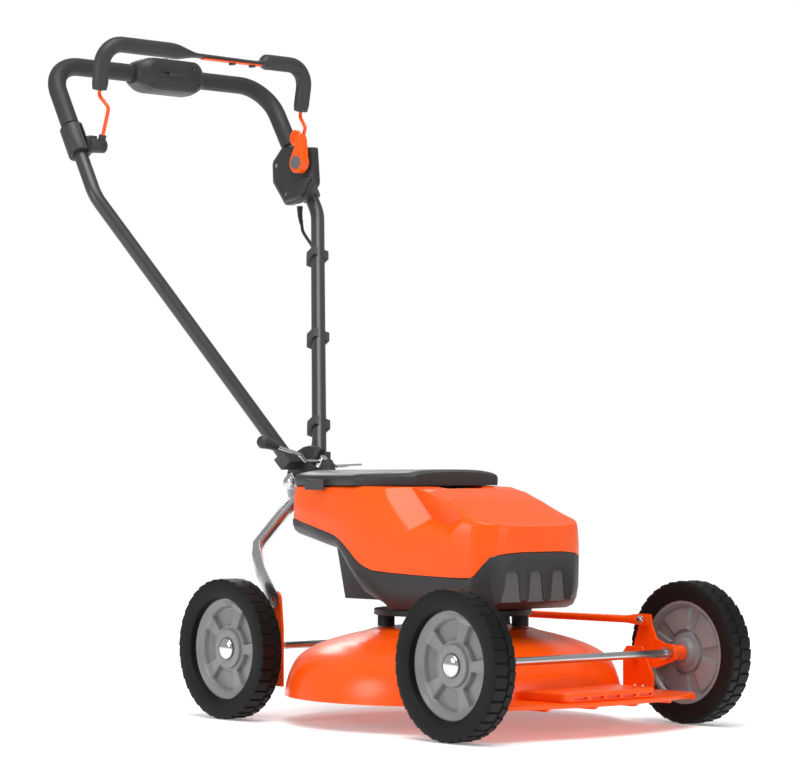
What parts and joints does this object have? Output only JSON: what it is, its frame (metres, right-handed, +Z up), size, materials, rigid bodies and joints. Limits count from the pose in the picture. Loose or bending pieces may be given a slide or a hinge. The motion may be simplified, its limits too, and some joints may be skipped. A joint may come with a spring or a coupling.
{
  "type": "push lawn mower",
  "caption": "Battery push lawn mower: domed steel deck on height-adjustable wheels, motor and battery housing above, folding tube handle with a bail and controls.",
  "frame": {"origin": "centre of the bounding box in x and y, on the ground under the wheels", "axes": "+Z up, -Y the mower's front, +X the mower's left seen by the person pushing it"},
  "size_m": [0.504, 1.1484, 1.0782],
  "materials": {
    "orange_paint": "gloss powder coat",
    "orange_plastic": "gloss",
    "dark_plastic": "fine textured",
    "black_plastic": "satin",
    "black_casting": "black coated",
    "black_rubber": "matte",
    "tyre_rubber": "matte",
    "grey_plastic": "satin",
    "tube_paint": "satin powder coat",
    "zinc_steel": "bright zinc plate",
    "motor_steel": "machined",
    "blade_steel": "ground",
    "copper_winding": "enamelled winding"
  },
  "bodies": {
    "deck": {"deck_shell": "orange_paint", "front_apron": "orange_paint", "front_ear_left": "orange_paint", "front_ear_right": "orange_paint", "rear_frame_left": "orange_paint", "rear_frame_right": "orange_paint", "motor_mount": "black_casting", "motor_housing": "black_casting", "motor_stator": "copper_winding", "bearing_upper": "motor_steel", "bearing_lower": "motor_steel", "motor_controller": "dark_plastic", "battery_bay": "dark_plastic", "battery_pack": "black_plastic", "lower_pan": "dark_plastic", "upper_cover": "orange_plastic", "carry_handle": "dark_plastic", "strut_left": "zinc_steel", "strut_right": "zinc_steel", "clamp_bolt": "zinc_steel"},
    "blade_rotor": {"motor_shaft": "motor_steel", "motor_rotor": "motor_steel", "blade_holder": "motor_steel", "cutting_blade": "blade_steel", "blade_bolt": "motor_steel"},
    "battery_lid": {"battery_lid": "dark_plastic"},
    "lid_latch": {"lid_latch": "dark_plastic"},
    "front_arms": {"front_arm_left": "orange_paint", "front_arm_right": "orange_paint", "front_axle": "zinc_steel"},
    "rear_arms": {"rear_arm_left": "orange_paint", "rear_arm_right": "orange_paint", "rear_axle": "zinc_steel", "height_lever": "dark_plastic"},
    "link_rod": {"link_rod": "orange_paint"},
    "wheel_front_left": {"tyre_front_left": "tyre_rubber", "rim_front_left": "grey_plastic"},
    "wheel_front_right": {"tyre_front_right": "tyre_rubber", "rim_front_right": "grey_plastic"},
    "wheel_rear_left": {"tyre_rear_left": "tyre_rubber", "rim_rear_left": "grey_plastic"},
    "wheel_rear_right": {"tyre_rear_right": "tyre_rubber", "rim_rear_right": "grey_plastic"},
    "handle": {"handle_tube": "tube_paint", "grip_sleeve": "black_rubber", "control_module": "dark_plastic", "bail_clamp": "dark_plastic", "switch_box": "dark_plastic", "handle_cable": "black_rubber", "cable_clip_1": "dark_plastic", "cable_clip_2": "dark_plastic", "cable_clip_3": "dark_plastic", "joint_disc": "dark_plastic"},
    "clamp_lever": {"clamp_lever": "zinc_steel", "lever_knob": "black_plastic"},
    "bail": {"bail_grip": "black_plastic", "bail_wire_left": "orange_paint", "bail_wire_right": "orange_paint"},
    "thumb_lever": {"thumb_lever": "orange_plastic"},
    "start_button": {"start_button": "black_rubber"}
  },
  "joints": [
    {"name": "blade_spin", "type": "hinge", "parent": "deck", "child": "blade_rotor", "pos_m": [0, -0.20515, 0.0505], "axis": [0, 0, 1], "continuous": true},
    {"name": "lid_hinge", "type": "hinge", "parent": "deck", "child": "battery_lid", "pos_m": [0, -0.21315, 0.3535], "axis": [1, 0, 0], "range_deg": [0, 95]},
    {"name": "latch_pivot", "type": "hinge", "parent": "battery_lid", "child": "lid_latch", "pos_m": [-0.12977, -0.03715, 0.3575], "axis": [0, 1, 0], "range_deg": [0, 25], "stiffness_Nm_per_rad": 0.4, "springref_deg": -5.73},
    {"name": "front_height", "type": "hinge", "parent": "deck", "child": "front_arms", "pos_m": [0, -0.40515, 0.0995], "axis": [1, 0, 0], "range_deg": [-10, 16]},
    {"name": "rear_height", "type": "hinge", "parent": "deck", "child": "rear_arms", "pos_m": [0, 0.10185, 0.0995], "axis": [1, 0, 0], "range_deg": [-10, 16]},
    {"name": "link_pivot", "type": "hinge", "parent": "front_arms", "child": "link_rod", "pos_m": [0, -0.41815, 0.152], "axis": [1, 0, 0], "range_deg": [-16, 10]},
    {"name": "front_left_roll", "type": "hinge", "parent": "front_arms", "child": "wheel_front_left", "pos_m": [0.2325, -0.46915, 0.105], "axis": [1, 0, 0], "continuous": true},
    {"name": "front_right_roll", "type": "hinge", "parent": "front_arms", "child": "wheel_front_right", "pos_m": [-0.2325, -0.46915, 0.105], "axis": [1, 0, 0], "continuous": true},
    {"name": "rear_left_roll", "type": "hinge", "parent": "rear_arms", "child": "wheel_rear_left", "pos_m": [0.2325, 0.03785, 0.105], "axis": [1, 0, 0], "continuous": true},
    {"name": "rear_right_roll", "type": "hinge", "parent": "rear_arms", "child": "wheel_rear_right", "pos_m": [-0.2325, 0.03785, 0.105], "axis": [1, 0, 0], "continuous": true},
    {"name": "handle_fold", "type": "hinge", "parent": "deck", "child": "handle", "pos_m": [0, 0.13085, 0.354], "axis": [1, 0, 0], "range_deg": [-60, 30]},
    {"name": "clamp_turn", "type": "hinge", "parent": "handle", "child": "clamp_lever", "pos_m": [0, 0.10485, 0.387], "axis": [0, -0.6189, 0.7855], "range_deg": [-25, 15]},
    {"name": "bail_pivot", "type": "hinge", "parent": "handle", "child": "bail", "pos_m": [0, 0.42735, 0.899], "axis": [1, 0, 0], "range_deg": [-26, 0], "stiffness_Nm_per_rad": 1.2, "springref_deg": 28.65},
    {"name": "thumb_pivot", "type": "hinge", "parent": "handle", "child": "thumb_lever", "pos_m": [0.1975, 0.40085, 0.898], "axis": [-1, 0, 0], "range_deg": [0, 20], "stiffness_Nm_per_rad": 0.3, "springref_deg": -17.19},
    {"name": "button_press", "type": "slide", "parent": "handle", "child": "start_button", "axis": [0, 0, -1], "range_m": [0, 0.003], "stiffness_N_per_m": 300, "springref_m": -0.004}
  ],
  "couplings": [
    {"joint": "rear_height", "follows": "front_height", "ratio": 1},
    {"joint": "link_pivot", "follows": "front_height", "ratio": -1}
  ]
}
